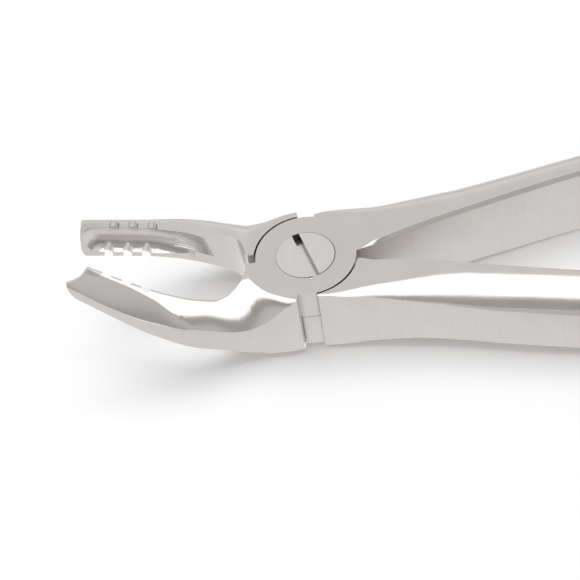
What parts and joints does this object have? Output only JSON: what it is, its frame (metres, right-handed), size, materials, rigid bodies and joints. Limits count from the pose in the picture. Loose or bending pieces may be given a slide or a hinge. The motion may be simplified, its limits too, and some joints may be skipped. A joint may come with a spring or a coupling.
{
  "type": "dental extraction forceps",
  "caption": "Upper molar extraction forceps: two crossing steel halves with toothed, hollowed beaks, one of them pointed, turning on a slotted screw in a lap joint.",
  "frame": {"origin": "on the pivot axis, at the underside of the lap joint, which is the flush end of the pivot screw", "axes": "+X midway between the two handles, so the beaks point towards -X; +Z along the pivot, up through the screw's head"},
  "size_m": [0.172, 0.0498, 0.0212],
  "materials": {
    "satin_steel": "satin, fine brushing across the side faces",
    "turned_steel": "turned and satin finished"
  },
  "bodies": {
    "palatal": {"palatal_half": "satin_steel", "pivot_screw": "turned_steel"},
    "buccal": {"buccal_half": "satin_steel"}
  },
  "joints": [
    {"name": "pivot", "type": "hinge", "parent": "palatal", "child": "buccal", "pos_m": [0, 0, 0], "axis": [0, 0, 1], "range_deg": [-9, 16]}
  ]
}
